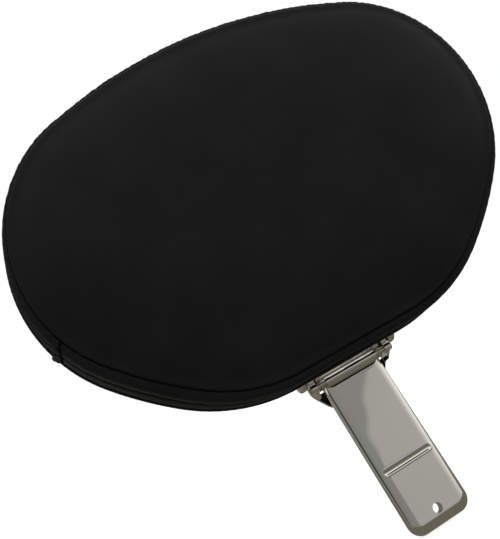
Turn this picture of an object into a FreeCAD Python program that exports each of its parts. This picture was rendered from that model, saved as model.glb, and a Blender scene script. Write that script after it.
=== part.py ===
"""Folding backrest for a motorcycle rider: a padded rest hinged on a plated steel post.

The frame: X across the seat, +Y to the rear, +Z up, with the rider facing -Y. The origin is the
centre of the retaining hole near the post's lower end. Millimetres and degrees throughout.
"""
import FreeCAD, Part
import math
import os
import Sketcher

V = FreeCAD.Vector
ACROSS = V(1, 0, 0)
BACK = V(0, 1, 0)
UP = V(0, 0, 1)
NEAR = 0.001

doc = FreeCAD.newDocument("backrest")
sheet = doc.addObject("Spreadsheet::Sheet", "Sizes")

SIZES = (
    # Outline of the pad at its front seam, as the rider's back meets it
    ("pad_half_width", 163, "middle of the pad to its widest point"),
    ("pad_top", 107.5, "pad centre up to the seam"),
    ("pad_bottom", 109, "pad centre down to the seam"),
    ("widest_rise", 7, "height of the widest point over the pad centre"),
    ("top_radius", 320, "round of the upper edge"),
    ("flank_radius", 242, "round of the lower sides"),
    ("corner_radius", 99, "round of the lower corners"),
    ("flank_turn", 40.7, "degrees below the widest point at which the lower side starts"),
    # The same outline at the rear edge of the side bands, which flare out to it, most of all below
    ("rear_half_width", 167.3, "middle of the pad to its widest point"),
    ("rear_top", 109, "pad centre up to the edge"),
    ("rear_bottom", 117.5, "pad centre down to the edge"),
    ("rear_rise", 1.6, "height of the widest point over the pad centre"),
    ("rear_corner_radius", 116, "round of the lower corners"),
    ("rear_flank_turn", 41.2, "degrees below the widest point at which the lower side starts"),
    # Depth and crown of the pad
    ("pad_depth", 31, "front seam to the rear edge of the side bands"),
    ("rim_rise", 6, "height gained where the face rolls over from the seam"),
    ("rim_run", 5, "width over which that roll fades"),
    ("crown_rise", 9, "further rise from the rim to the middle of the face"),
    ("crown_core", 10, "round left at the shoulders where the face is flat"),
    ("cover", 1.3, "thickness of the coated fabric"),
    ("cover_gap", 0.2, "slack between the cover and the foam"),
    ("welt_radius", 1.9, "piping along the rear edge"),
    ("welt_grow", 0.3, "middle of the piping outside the bands' rear edge"),
    ("seam_gap", 0.1, "slack between the piping and its neighbours"),
    # Board inside the pad, and its nuts
    ("board_inset", 8, "board edge inside the bands' rear edge"),
    ("board_thick", 9, "plywood"),
    ("back_thick", 1.2, "rear cover sheet"),
    ("back_inset", 1.8, "rear cover's edge inside the bands' rear edge"),
    ("screw_radius", 3, "M6 screws that hold the bracket"),
    ("screw_fit", 0.05, "thread clearance, radial"),
    ("screw_hole_gap", 0.3, "clearance round a screw in sheet, radial"),
    ("screw_length", 16, "under the head"),
    ("screw_tip_room", 0.8, "foam cut away in front of the nuts"),
    ("screw_head_flats", 10, "across the flats of the head"),
    ("screw_head_rise", 4, "head above its flange"),
    ("screw_half_spacing", 12, "screws either side of the middle"),
    ("screw_low", 30, "lower screws over the hinge pin"),
    ("screw_high", 76, "upper screws over the hinge pin"),
    ("tee_flange_flats", 16, "across the flats of a tee nut's flange"),
    ("tee_flange_thick", 1.5, "flange of a tee nut"),
    ("tee_corner_room", 1, "foam cut away outside those flats"),
    ("tee_barrel_radius", 4, "barrel of a tee nut"),
    ("tee_barrel_length", 8, "barrel of a tee nut"),
    ("washer_radius", 6.4, "flange of a screw"),
    ("washer_thick", 1.2, "that flange, and the washers on the hinge pin"),
    # Hinge
    ("pin_setback", 48, "front seam back to the pin"),
    ("pin_drop", 120.5, "pad centre down to the pin"),
    ("pin_radius", 3.5, "hinge pin"),
    ("running_gap", 0.05, "pin in its holes, radial"),
    ("pin_head_radius", 5.2, "round head at the left"),
    ("pin_head_thick", 4.6, "round head at the left"),
    ("pin_head_chamfer", 1.3, "outer edge of that head"),
    ("pin_end_spare", 1.6, "pin showing beyond the nut"),
    ("pin_point", 1, "chamfer at the thread's end"),
    ("pin_washer_radius", 5, "washers outside the yoke"),
    ("spring_radius", 4.6, "disc springs that give the fold its drag"),
    ("spring_stack", 2.2, "thickness of the disc springs"),
    ("nut_flats", 9.6, "across the flats"),
    ("nut_thick", 4, "hexagon of the lock nut"),
    ("nut_collar_radius", 4.3, "rounded collar of the lock nut"),
    ("nut_collar_thick", 1.2, "rounded collar of the lock nut"),
    # Pad bracket, a channel pressed from plate
    ("plate", 4, "thickness of bracket and yoke"),
    ("bracket_half_width", 25, "outside of the bracket's cheeks"),
    ("welt_clearance", 0.8, "piping to the bracket's web above it and to the cheeks behind it"),
    ("bracket_high", 90, "upper edge of the bracket's web over the pin"),
    ("cheek_high", 62, "top of the cheeks over the pin"),
    ("cheek_top_depth", 9, "depth of a cheek at its top, from the web's face"),
    ("cheek_rear_turn", 10, "degrees over the pin's level where the cheek's rear edge leaves its lobe"),
    ("bracket_lobe", 10, "round end of a cheek about the pin"),
    ("tube_radius", 4.75, "pivot tube that joins the cheeks"),
    ("tube_gap", 0.05, "pivot tube in the cheeks, radial"),
    ("bend_radius", 2, "inside of the pressed bends"),
    ("web_corner_radius", 8, "upper corners of the bracket's web"),
    # Stop rod, and the curved slot in the cheeks that it limits
    ("rod_radius", 2, "stop rod"),
    ("rod_reach", 9, "pin to stop rod"),
    ("rod_angle", 35.5, "stop rod below the level of the pin, to the front"),
    ("rod_gap", 0.3, "stop rod in the curved slot"),
    ("rod_boss", 3.6, "yoke's metal round the stop rod"),
    ("rod_end_spare", 1.8, "rod showing outside the yoke"),
    ("sleeve_radius", 2.75, "polished sleeve on the stop rod"),
    ("sleeve_end_gap", 1.2, "sleeve to the cheeks"),
    ("fold_range", 55, "how far the pad folds forward"),
    ("clip_radius", 3.4, "retaining clips on the rod"),
    ("clip_thick", 0.8, "retaining clips on the rod"),
    ("clip_mouth", 2.6, "open side of a clip"),
    # Yoke, welded behind the post's top
    ("yoke_half_width", 31, "outside of the yoke's ears"),
    ("yoke_lobe", 9, "round end of an ear about the pin"),
    ("yoke_low", 40, "lower edge of the yoke below the pin"),
    ("yoke_foot_half_width", 18, "yoke's foot behind the post"),
    ("yoke_shoulder", 8, "ears keep their full width down to here"),
    ("yoke_waist", 21, "ears have drawn in to the post's edge here"),
    ("drag_washer_radius", 6.2, "plastic washers between bracket and yoke"),
    ("drag_washer_gap", 0.15, "each side of such a washer"),
    # Post
    ("post_lean", 13, "post against the pad: its top goes to the rear"),
    ("post_half_width", 22.5, "flat bar 45 wide"),
    ("post_thick", 8, "flat bar"),
    ("post_edge", 3.4, "rolled-over edges"),
    ("post_corner", 9, "corners of the lower end"),
    ("hole_radius", 3.25, "retaining hole"),
    ("hole_to_end", 10, "retaining hole to the lower end"),
    ("pin_height", 108, "retaining hole up to the pin, along the post"),
    ("post_top_gap", 11, "pin down to the post's top edge"),
    ("groove_height", 33.4, "retaining hole up to the locating groove"),
    ("groove_half_length", 18, "locating groove, tip to middle"),
    ("groove_half_width", 1.6, "locating groove"),
    ("groove_depth", 1.2, "locating groove"),
    ("groove_round", 0.7, "round at the groove's floor"),
)

DERIVED = (
    ("top_span", "pad_top - widest_rise"),
    ("shoulder_radius",
     "(2 * top_radius * top_span - top_span^2 - pad_half_width^2) / (2 * (top_radius - pad_half_width))"),
    ("shoulder_x", "pad_half_width - shoulder_radius"),
    ("crown_run", "shoulder_radius - crown_core"),
    ("flank_z", "widest_rise + (flank_radius - shoulder_radius) * sin(flank_turn)"),
    ("rear_span", "rear_top - rear_rise"),
    ("rear_shoulder",
     "(2 * top_radius * rear_span - rear_span^2 - rear_half_width^2) / (2 * (top_radius - rear_half_width))"),
    ("rear_shoulder_x", "rear_half_width - rear_shoulder"),
    ("rear_flank_z", "rear_rise + (flank_radius - rear_shoulder) * sin(rear_flank_turn)"),
    ("pin_y", "pin_height * sin(post_lean)"),
    ("pin_z", "pin_height * cos(post_lean)"),
    ("seam_y", "pin_y - pin_setback"),
    ("pad_z", "pin_z + pin_drop"),
    ("web_front", "pad_depth + back_thick - pin_setback"),
    ("web_rear", "web_front + plate"),
    ("bracket_low", "pin_drop - rear_bottom - welt_grow + welt_radius + welt_clearance"),
    ("cheek_front", "pad_depth + seam_gap + 2 * welt_radius + welt_clearance - pin_setback"),
    ("cheek_inside", "bracket_half_width - plate"),
    ("ear_inside", "yoke_half_width - plate"),
    ("slot_half_width", "rod_radius + rod_gap"),
    ("rod_y", "-rod_reach * cos(rod_angle + post_lean)"),
    ("rod_z", "-rod_reach * sin(rod_angle + post_lean)"),
    ("yoke_rear", "post_thick / 2 + plate"),
    ("yoke_depth", "rod_reach + rod_boss + yoke_rear"),
    ("washer_seat", "yoke_half_width + washer_thick"),
    ("nut_seat", "washer_seat + spring_stack"),
    ("nut_end", "nut_seat + nut_thick"),
    ("pin_end", "nut_end + nut_collar_thick + pin_end_spare"),
)


def fill_sheet():
    """Write each driving size, then each size that follows from them."""
    row = 1
    for name, number, meaning in SIZES:
        sheet.set("A%d" % row, name)
        sheet.set("B%d" % row, str(number))
        sheet.setAlias("B%d" % row, name)
        sheet.set("C%d" % row, meaning)
        row += 1
    for name, formula in DERIVED:
        sheet.set("A%d" % row, name)
        sheet.set("B%d" % row, "=" + formula)
        sheet.setAlias("B%d" % row, name)
        row += 1
    doc.recompute()


def full(formula):
    """Put the sheet's name before each size that a formula names."""
    names = {entry[0] for entry in SIZES + DERIVED}
    word = ""
    result = ""
    for letter in str(formula) + " ":
        if letter.isalnum() or letter == "_":
            word += letter
            continue
        result += "Sizes." + word if word in names else word
        result += letter
        word = ""
    return result.strip()


def number(formula):
    """The value of a formula written with the sheet's names."""
    return float(sheet.evalExpression(full(formula)))


def bind(thing, target, formula):
    thing.setExpression(target, full(formula))


def new_body(name):
    """An empty body. Its label becomes the name of its file."""
    body = doc.addObject("PartDesign::Body", name)
    body.Label = name
    return body


def place(thing, y="0", z="0", lean="0"):
    """Move a thing to its seat and tip it about X by the given angle."""
    thing.Placement = FreeCAD.Placement(V(0, 0, 0), FreeCAD.Rotation(ACROSS, 1))
    bind(thing, ".Placement.Base.y", y)
    bind(thing, ".Placement.Base.z", z)
    bind(thing, ".Placement.Rotation.Angle", lean)


def on_pad(thing):
    place(thing, "seam_y", "pad_z")


def on_pin(thing):
    place(thing, "pin_y", "pin_z")


def on_post(thing):
    place(thing, "0", "0", "-post_lean")


def on_yoke(thing):
    place(thing, "pin_y", "pin_z", "-post_lean")


def new_sketch(body, name, plane, distance="0"):
    """A sketch on one of the body's own planes, moved along that plane's normal."""
    sketch = body.newObject("Sketcher::SketchObject", name)
    origin_plane = [f for f in body.Origin.OriginFeatures if f.Role == plane][0]
    sketch.AttachmentSupport = [(origin_plane, "")]
    sketch.MapMode = "FlatFace"
    bind(sketch, ".AttachmentOffset.Base.z", distance)
    return sketch


def measure(sketch, kind, refs, formula):
    """Add a constraint whose value follows the sheet."""
    index = sketch.addConstraint(Sketcher.Constraint(kind, *refs, number(formula)))
    bind(sketch, "Constraints[%d]" % index, formula)


def polygon(body, name, plane, points, distance="0"):
    """A closed run of straight lines through points given as pairs of formulas."""
    sketch = new_sketch(body, name, plane, distance)
    spots = [V(number(a), number(b), 0) for a, b in points]
    count = len(spots)
    for i in range(count):
        sketch.addGeometry(Part.LineSegment(spots[i], spots[(i + 1) % count]))
    for i in range(count):
        sketch.addConstraint(Sketcher.Constraint("Coincident", i, 2, (i + 1) % count, 1))
    for i, (a, b) in enumerate(points):
        measure(sketch, "DistanceX", (-1, 1, i, 1), a)
        measure(sketch, "DistanceY", (-1, 1, i, 1), b)
    return sketch


def circles(body, name, plane, spots, radius, distance="0"):
    """Equal circles at spots given as pairs of formulas."""
    sketch = new_sketch(body, name, plane, distance)
    for i, (a, b) in enumerate(spots):
        sketch.addGeometry(Part.Circle(V(number(a), number(b), 0), UP, number(radius)))
        measure(sketch, "DistanceX", (-1, 1, i, 3), a)
        measure(sketch, "DistanceY", (-1, 1, i, 3), b)
        measure(sketch, "Radius", (i,), radius)
    return sketch


def outline(body, name, grow="0", forward="0", flare="0"):
    """The pad's outline: seven tangent arcs and a line. It may be grown outward, set forward of the
    front seam, and moved a share of the way to the rear edge's own outline."""
    sketch = new_sketch(body, name, "XZ_Plane", forward)

    def between(front, rear):
        return "%s + (%s) * (%s - %s)" % (front, flare, rear, front)

    bottom = between("pad_bottom", "rear_bottom") + " + (%s)" % grow
    shoulder_x = between("shoulder_x", "rear_shoulder_x")
    shoulder_z = between("widest_rise", "rear_rise")
    flank_z = between("flank_z", "rear_flank_z")
    radii = [part + " + (%s)" % grow for part in (
        between("corner_radius", "rear_corner_radius"), "flank_radius",
        between("shoulder_radius", "rear_shoulder"), "top_radius")]
    corner_size, flank_size, shoulder_size, top_size = [number(part) for part in radii]
    shoulder = V(number(shoulder_x), number(shoulder_z), 0)
    flank_height = number(flank_z)
    flank_way = math.sqrt((flank_size - shoulder_size) ** 2 - (flank_height - shoulder.y) ** 2)
    flank = V(shoulder.x - flank_way, flank_height, 0)
    base = number(bottom)
    corner_height = corner_size - base
    corner_way = math.sqrt((flank_size - corner_size) ** 2 - (flank.y - corner_height) ** 2)
    corner = V(flank.x + corner_way, corner_height, 0)
    top = V(0, shoulder.y - math.sqrt((top_size - shoulder_size) ** 2 - shoulder.x ** 2), 0)
    corner_end = math.atan2(corner.y - flank.y, corner.x - flank.x)
    flank_end = math.atan2(shoulder.y - flank.y, shoulder.x - flank.x)
    shoulder_end = math.atan2(shoulder.y - top.y, shoulder.x - top.x)
    half = math.pi
    quarter = math.pi / 2
    sketch.addGeometry(Part.LineSegment(V(-corner.x, -base, 0), V(corner.x, -base, 0)))
    arcs = (
        (corner, corner_size, -quarter, corner_end),
        (flank, flank_size, corner_end, flank_end),
        (shoulder, shoulder_size, flank_end, shoulder_end),
        (top, top_size, shoulder_end, half - shoulder_end),
        (V(-shoulder.x, shoulder.y, 0), shoulder_size, half - shoulder_end, half - flank_end),
        (V(-flank.x, flank.y, 0), flank_size, half - flank_end, half - corner_end),
        (V(-corner.x, corner.y, 0), corner_size, half - corner_end, half + quarter),
    )
    for centre, radius, start, end in arcs:
        sketch.addGeometry(Part.ArcOfCircle(Part.Circle(centre, UP, radius), start, end))
    count = len(arcs) + 1
    for i in range(count):
        sketch.addConstraint(Sketcher.Constraint("Tangent", i, 2, (i + 1) % count, 1))
    sketch.addConstraint(Sketcher.Constraint("Symmetric", 0, 1, 0, 2, -2))
    measure(sketch, "DistanceY", (0, 2, -1, 1), bottom)
    for i, radius in enumerate(radii):
        measure(sketch, "Radius", (i + 1,), radius)
    for right, left in ((1, 7), (2, 6), (3, 5)):
        sketch.addConstraint(Sketcher.Constraint("Equal", right, left))
    measure(sketch, "DistanceX", (-1, 1, 3, 3), shoulder_x)
    measure(sketch, "DistanceY", (-1, 1, 3, 3), shoulder_z)
    measure(sketch, "DistanceY", (-1, 1, 2, 3), flank_z)
    sketch.addConstraint(Sketcher.Constraint("Horizontal", 1, 2, 6, 2))
    sketch.addConstraint(Sketcher.Constraint("Horizontal", 2, 2, 5, 2))
    return sketch


def pad(body, name, sketch, length, reversed_way=False, both_ways=False):
    feature = body.newObject("PartDesign::Pad", name)
    feature.Profile = sketch
    feature.Reversed = reversed_way
    if both_ways:
        feature.SideType = "Symmetric"
    bind(feature, "Length", length)
    return feature


def pocket(body, name, sketch, length, reversed_way=False, both_ways=False):
    """Cut along the sketch and make sure that metal came away."""
    doc.recompute()
    before = body.Shape.Volume
    feature = body.newObject("PartDesign::Pocket", name)
    feature.Profile = sketch
    feature.Reversed = reversed_way
    if both_ways:
        feature.SideType = "Symmetric"
    bind(feature, "Length", length)
    doc.recompute()
    if body.Shape.Volume >= before:
        raise ValueError("nothing was cut by " + name)
    return feature


def revolve(body, name, sketch, axis):
    feature = body.newObject("PartDesign::Revolution", name)
    feature.Profile = sketch
    feature.ReferenceAxis = (sketch, [axis])
    feature.Angle = 360
    return feature


def loft(body, name, sketches, cutting=False):
    kind = "PartDesign::SubtractiveLoft" if cutting else "PartDesign::AdditiveLoft"
    feature = body.newObject(kind, name)
    feature.Profile = sketches[0]
    feature.Sections = sketches[1:]
    feature.Ruled = True
    return feature


def round_edges(body, name, radius, wanted):
    """Round those edges of the body's last feature that the test picks out."""
    doc.recompute()
    base = body.Tip
    names = ["Edge%d" % (i + 1) for i, edge in enumerate(base.Shape.Edges) if wanted(edge)]
    if not names:
        raise ValueError("no edge was found for " + name)
    feature = body.newObject("PartDesign::Fillet", name)
    feature.Base = (base, names)
    bind(feature, "Radius", radius)
    return feature


def combined(kind, name, members):
    """A boolean of finished bodies, which goes under the node's own name."""
    result = doc.addObject(kind, name)
    result.Label = name
    result.Shapes = members
    return result


def group(name, source, spots):
    """Like pieces that share a node: copies of one body at spots given as three formulas."""
    copies = []
    for i, spot in enumerate(spots):
        copy = doc.addObject("App::Link", "%s_%d" % (name, i + 1))
        copy.LinkedObject = source
        copy.LinkTransform = True
        for axis, formula in zip("xyz", spot):
            bind(copy, ".LinkPlacement.Base." + axis, formula)
        copies.append(copy)
    result = doc.addObject("Part::Compound", name)
    result.Label = name
    result.Links = copies
    return result


def ring(body, outer, inner, low, thickness):
    """A washer or tube on the X axis of its body, from low to low plus thickness."""
    pad(body, body.Name + "_disc", circles(body, body.Name + "_rim", "YZ_Plane", [("0", "0")], outer, low),
        thickness)
    hole = circles(body, body.Name + "_eye", "YZ_Plane", [("0", "0")], inner, low)
    pocket(body, body.Name + "_bore", hole, thickness, reversed_way=True)
    return body


def parallel_to(direction):
    """A test for straight edges along a direction."""
    def test(edge):
        if not isinstance(edge.Curve, Part.Line):
            return False
        return edge.Curve.Direction.cross(direction).Length < NEAR
    return test


fill_sheet()
nodes = []

# Face of the cover: one crowned panel of coated fabric. It rolls over steeply from the seam, then
# rises slowly to a nearly flat middle. Each step is a share of the way from the seam to there.
FACE_STEPS = (0, 0.06, 0.3, 1)
HOLLOW_STEPS = (0, 0.12, 1)
RISE = "rim_rise * (1 - exp(-({run}) / rim_run)) + crown_rise * (1 - (1 - ({run}) / crown_run)^2)"


def face_sections(body, name, steps, inside):
    """Outlines that shrink and step forward from the seam, the whole moved in by a thickness."""
    sections = []
    for i, share in enumerate(steps):
        run = "%g * crown_run" % share
        rise = RISE.format(run=run)
        sections.append(outline(body, "%s_%d" % (name, i), "-(%s) - (%s)" % (run, inside),
                                "%s - (%s)" % (rise, inside)))
    return sections


front_panel = new_body("front_panel")
loft(front_panel, "panel_crown", face_sections(front_panel, "crown_line", FACE_STEPS, "0"))
loft(front_panel, "panel_hollow", face_sections(front_panel, "hollow_line", HOLLOW_STEPS, "cover"),
     cutting=True)
on_pad(front_panel)
nodes.append(front_panel)

# Sides of the cover: two bands sewn edge to edge at half depth, which swell between their seams. Each
# line is a share of the pad's depth, a share of the flare to the rear outline, and a growth.
FRONT_BAND_LINES = ((0, 0, 0), (0.2, 0.64, 0.3), (0.5, 0.7, 0))
REAR_BAND_LINES = ((0.5, 0.7, 0), (0.75, 0.95, 0.3), (1, 1, 0))


def side_sections(body, name, lines, inside):
    """Outlines at the given lines, the whole moved in by a thickness."""
    sections = []
    for i, (share, flare, grow) in enumerate(lines):
        sections.append(outline(body, "%s_%d" % (name, i), "%g - (%s)" % (grow, inside),
                                "-%g * pad_depth" % share, "%g" % flare))
    return sections


for band_name, lines in (("front_band", FRONT_BAND_LINES), ("rear_band", REAR_BAND_LINES)):
    band = new_body(band_name)
    loft(band, band_name + "_outside", side_sections(band, band_name + "_line", lines, "0"))
    loft(band, band_name + "_inside", side_sections(band, band_name + "_inner_line", lines, "cover"),
         cutting=True)
    on_pad(band)
    nodes.append(band)

# Piping: a covered cord sewn into the rear seam, all the way round. Its round section is six flats.
WELT_CORNERS = 6
WELT_MIDDLE = "pad_depth + welt_radius + seam_gap"


def welt_sections(name, outward):
    """Outlines through the piping's corners, from its front edge to its rear edge."""
    sections = []
    for i in range(WELT_CORNERS // 2 + 1):
        turn = 360 * i / WELT_CORNERS
        grow = "welt_grow + (%d) * welt_radius * sin(%g)" % (outward, turn)
        sections.append(outline(rear_welt, "%s_%d" % (name, i), grow,
                                "-(%s) + welt_radius * cos(%g)" % (WELT_MIDDLE, turn), "1"))
    return sections


rear_welt = new_body("rear_welt")
loft(rear_welt, "welt_outside", welt_sections("welt_outer_line", 1))
loft(rear_welt, "welt_inside", welt_sections("welt_inner_line", -1), cutting=True)
on_pad(rear_welt)
nodes.append(rear_welt)

SCREW_SPOTS = [("%s * screw_half_spacing" % side, "%s - pin_drop" % row)
               for side in ("-1", "1") for row in ("screw_low", "screw_high")]

# Rear cover: a flat sheet inside the piping, with holes for the bracket's screws.
back_cover = new_body("back_cover")
pad(back_cover, "back_sheet", outline(back_cover, "back_edge", "-back_inset", "-pad_depth", "1"),
    "back_thick", reversed_way=True)
pocket(back_cover, "back_holes",
       circles(back_cover, "back_hole_line", "XZ_Plane", SCREW_SPOTS, "screw_radius + screw_hole_gap",
               "-pad_depth"),
       "back_thick")
on_pad(back_cover)
nodes.append(back_cover)

# Base board: plywood to the pad's own outline, bored for the tee nuts.
base_board = new_body("base_board")
pad(base_board, "board", outline(base_board, "board_edge", "-board_inset", "-pad_depth", "1"),
    "board_thick")
pocket(base_board, "board_holes",
       circles(base_board, "board_hole_line", "XZ_Plane", SCREW_SPOTS, "tee_barrel_radius + screw_fit",
               "board_thick - pad_depth"),
       "board_thick")
on_pad(base_board)
nodes.append(base_board)

# Foam: fills the cover under the face and the bands, with a seat for the board and the tee nuts.
FOAM_INSIDE = "cover + cover_gap"
foam_core = new_body("foam_core")
loft(foam_core, "foam_crown", face_sections(foam_core, "foam_face_line", HOLLOW_STEPS, FOAM_INSIDE))
loft(foam_core, "foam_sides", side_sections(foam_core, "foam_side_line",
                                            FRONT_BAND_LINES + REAR_BAND_LINES[2:], FOAM_INSIDE))
pocket(foam_core, "board_seat",
       outline(foam_core, "board_seat_line", "cover_gap - board_inset", "-pad_depth", "1"), "board_thick",
       reversed_way=True)
pocket(foam_core, "tee_seats",
       circles(foam_core, "tee_seat_line", "XZ_Plane", SCREW_SPOTS, "tee_flange_flats / 2 + tee_corner_room",
               "-pad_depth"),
       "board_thick + tee_flange_thick + screw_tip_room", reversed_way=True)
on_pad(foam_core)
nodes.append(foam_core)



def flats(count, across):
    """Corners of a regular figure with so many flats at a distance across them."""
    corner = "(%s) / 2 / cos(%g)" % (across, 180 / count)
    return [("%s * cos(%g)" % (corner, 360 * i / count), "%s * sin(%g)" % (corner, 360 * i / count))
            for i in range(count)]


# Tee nuts: an eight-sided flange on a barrel, pressed into the board from the front.
tee_nut = new_body("tee_nut")
pad(tee_nut, "tee_flange", polygon(tee_nut, "tee_flange_line", "XZ_Plane", flats(8, "tee_flange_flats")),
    "tee_flange_thick")
pad(tee_nut, "tee_barrel", circles(tee_nut, "tee_barrel_line", "XZ_Plane", [("0", "0")], "tee_barrel_radius"),
    "tee_barrel_length", reversed_way=True)
pocket(tee_nut, "tee_thread",
       circles(tee_nut, "tee_thread_line", "XZ_Plane", [("0", "0")], "screw_radius + screw_fit"),
       "tee_barrel_length * 2", both_ways=True)
nodes.append(group("tee_nuts", tee_nut, [
    (x, "seam_y + pad_depth - board_thick", "pad_z + (%s)" % z) for x, z in SCREW_SPOTS]))

# Bracket screws: hexagon heads on a broad flange, from the rear into the tee nuts.
screw = new_body("screw")
screw_line = polygon(screw, "screw_line", "XY_Plane", (
    ("0", "-screw_length"),
    ("screw_radius", "-screw_length"),
    ("screw_radius", "0"),
    ("washer_radius", "0"),
    ("washer_radius", "washer_thick"),
    ("0", "washer_thick"),
))
revolve(screw, "screw_turned", screw_line, "V_Axis")
pad(screw, "screw_head", polygon(screw, "head_line", "XZ_Plane", flats(6, "screw_head_flats"),
                                 "-washer_thick"), "screw_head_rise", reversed_way=True)
nodes.append(group("bracket_screws", screw, [
    (x, "pin_y + web_rear", "pad_z + (%s)" % z) for x, z in SCREW_SPOTS]))

# Pad bracket: a channel pressed from plate. The web lies on the pad's back and its two cheeks reach
# down to the pin. It is the channel's section where that meets the cheeks' side view.
channel = new_body("bracket_channel")
channel_line = polygon(channel, "channel_line", "XY_Plane", (
    ("-bracket_half_width", "web_front"),
    ("bracket_half_width", "web_front"),
    ("bracket_half_width", "bracket_lobe"),
    ("cheek_inside", "bracket_lobe"),
    ("cheek_inside", "web_rear"),
    ("-cheek_inside", "web_rear"),
    ("-cheek_inside", "bracket_lobe"),
    ("-bracket_half_width", "bracket_lobe"),
), "-bracket_lobe")
pad(channel, "channel_run", channel_line, "bracket_lobe + bracket_high")


def channel_bends(face_y, half_width):
    """A test for a channel's upright edges at one of its faces."""
    def test(edge):
        if not parallel_to(UP)(edge):
            return False
        middle = edge.CenterOfMass
        at_face = abs(middle.y - number(face_y)) < NEAR
        return at_face and abs(abs(middle.x) - number(half_width)) < NEAR
    return test


round_edges(channel, "channel_outer_bends", "bend_radius + plate",
            channel_bends("web_front", "bracket_half_width"))
round_edges(channel, "channel_inner_bends", "bend_radius", channel_bends("web_rear", "cheek_inside"))
on_pin(channel)

cheek = new_body("bracket_side")
cheek_line = polygon(cheek, "cheek_line", "YZ_Plane", (
    ("0", "0"),
    ("bracket_lobe * cos(cheek_rear_turn)", "bracket_lobe * sin(cheek_rear_turn)"),
    ("web_front + cheek_top_depth", "cheek_high"),
    ("web_rear", "cheek_high"),
    ("web_rear", "bracket_high"),
    ("web_front", "bracket_high"),
    ("web_front", "bracket_low"),
    ("cheek_front", "bracket_low"),
), "0")
pad(cheek, "cheek_blank", cheek_line, "bracket_half_width * 2", both_ways=True)
lobe_line = circles(cheek, "lobe_line", "YZ_Plane", [("0", "0")], "bracket_lobe")
pad(cheek, "cheek_lobe", lobe_line, "bracket_half_width * 2", both_ways=True)
tube_hole_line = circles(cheek, "tube_hole_line", "YZ_Plane", [("0", "0")], "tube_radius + tube_gap")
pocket(cheek, "tube_hole", tube_hole_line, "bracket_half_width * 2", both_ways=True)


def curved_slot(body, name):
    """A slot about the pin, from the stop rod at rest to the stop rod at full fold."""
    sketch = new_sketch(body, name, "YZ_Plane")
    low = math.radians(180 + number("rod_angle"))
    high = math.radians(180 + number("rod_angle") - number("fold_range"))
    reach = number("rod_reach")
    half_width = number("slot_half_width")
    ends = [V(reach * math.cos(a), reach * math.sin(a), 0) for a in (high, low)]
    centre = V(0, 0, 0)
    sketch.addGeometry(Part.ArcOfCircle(Part.Circle(centre, UP, reach + half_width), high, low))
    sketch.addGeometry(Part.ArcOfCircle(Part.Circle(ends[1], UP, half_width), low, low + math.pi))
    sketch.addGeometry(Part.ArcOfCircle(Part.Circle(centre, UP, reach - half_width), high, low))
    sketch.addGeometry(Part.ArcOfCircle(Part.Circle(ends[0], UP, half_width), high - math.pi, high))
    for first, first_end, second, second_end in ((0, 2, 1, 1), (1, 2, 2, 2), (2, 1, 3, 1), (3, 2, 0, 1)):
        sketch.addConstraint(Sketcher.Constraint("Tangent", first, first_end, second, second_end))
    sketch.addConstraint(Sketcher.Constraint("Coincident", 0, 3, -1, 1))
    sketch.addConstraint(Sketcher.Constraint("Coincident", 2, 3, -1, 1))
    measure(sketch, "Radius", (0,), "rod_reach + slot_half_width")
    measure(sketch, "Radius", (2,), "rod_reach - slot_half_width")
    measure(sketch, "DistanceY", (-1, 1, 1, 3), "-rod_reach * sin(rod_angle)")
    measure(sketch, "DistanceY", (-1, 1, 3, 3), "rod_reach * sin(fold_range - rod_angle)")
    return sketch


pocket(cheek, "rod_slot", curved_slot(cheek, "rod_slot_line"), "bracket_half_width * 2", both_ways=True)
web_holes = circles(cheek, "web_hole_line", "XZ_Plane",
                    [(x, "(%s) + pin_drop" % z) for x, z in SCREW_SPOTS],
                    "screw_radius + screw_hole_gap", "-web_front")
pocket(cheek, "web_holes", web_holes, "plate")


def web_top_corners(edge):
    """Upper corners of the web, whose edges run from front to rear."""
    if not parallel_to(BACK)(edge):
        return False
    middle = edge.CenterOfMass
    return abs(middle.z - number("bracket_high")) < NEAR


round_edges(cheek, "web_corners", "web_corner_radius", web_top_corners)
on_pin(cheek)
nodes.append(combined("Part::MultiCommon", "pad_bracket", [channel, cheek]))

# Pivot tube: joins the cheeks and turns on the pin.
pivot_tube = ring(new_body("pivot_tube"), "tube_radius", "pin_radius + running_gap",
                  "-bracket_half_width", "bracket_half_width * 2")
on_pin(pivot_tube)
nodes.append(pivot_tube)

# Hinge pin: a turned bolt with a round head at the left and its thread at the right.
hinge_pin = new_body("hinge_pin")
pin_line = polygon(hinge_pin, "pin_line", "XY_Plane", (
    ("-washer_seat - pin_head_thick", "0"),
    ("-washer_seat - pin_head_thick", "pin_head_radius - pin_head_chamfer"),
    ("-washer_seat - pin_head_thick + pin_head_chamfer", "pin_head_radius"),
    ("-washer_seat", "pin_head_radius"),
    ("-washer_seat", "pin_radius"),
    ("pin_end - pin_point", "pin_radius"),
    ("pin_end", "pin_radius - pin_point"),
    ("pin_end", "0"),
))
revolve(hinge_pin, "pin_turned", pin_line, "H_Axis")
on_yoke(hinge_pin)
nodes.append(hinge_pin)


def pair_on_axis(name, outer, inner, low, thickness, fixture):
    """Two equal rings at the same distance either side of the middle, as one node."""
    halves = []
    for side, start in (("right", low), ("left", "-(%s) - (%s)" % (low, thickness))):
        half = ring(new_body("%s_%s" % (name, side)), outer, inner, start, thickness)
        fixture(half)
        halves.append(half)
    pair = doc.addObject("Part::Compound", name)
    pair.Label = name
    pair.Links = halves
    return pair


nodes.append(pair_on_axis("pin_washers", "pin_washer_radius", "pin_radius + running_gap",
                          "yoke_half_width", "washer_thick", on_yoke))
nodes.append(pair_on_axis("drag_washers", "drag_washer_radius", "pin_radius + running_gap",
                          "bracket_half_width + drag_washer_gap",
                          "ear_inside - bracket_half_width - 2 * drag_washer_gap", on_yoke))

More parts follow.
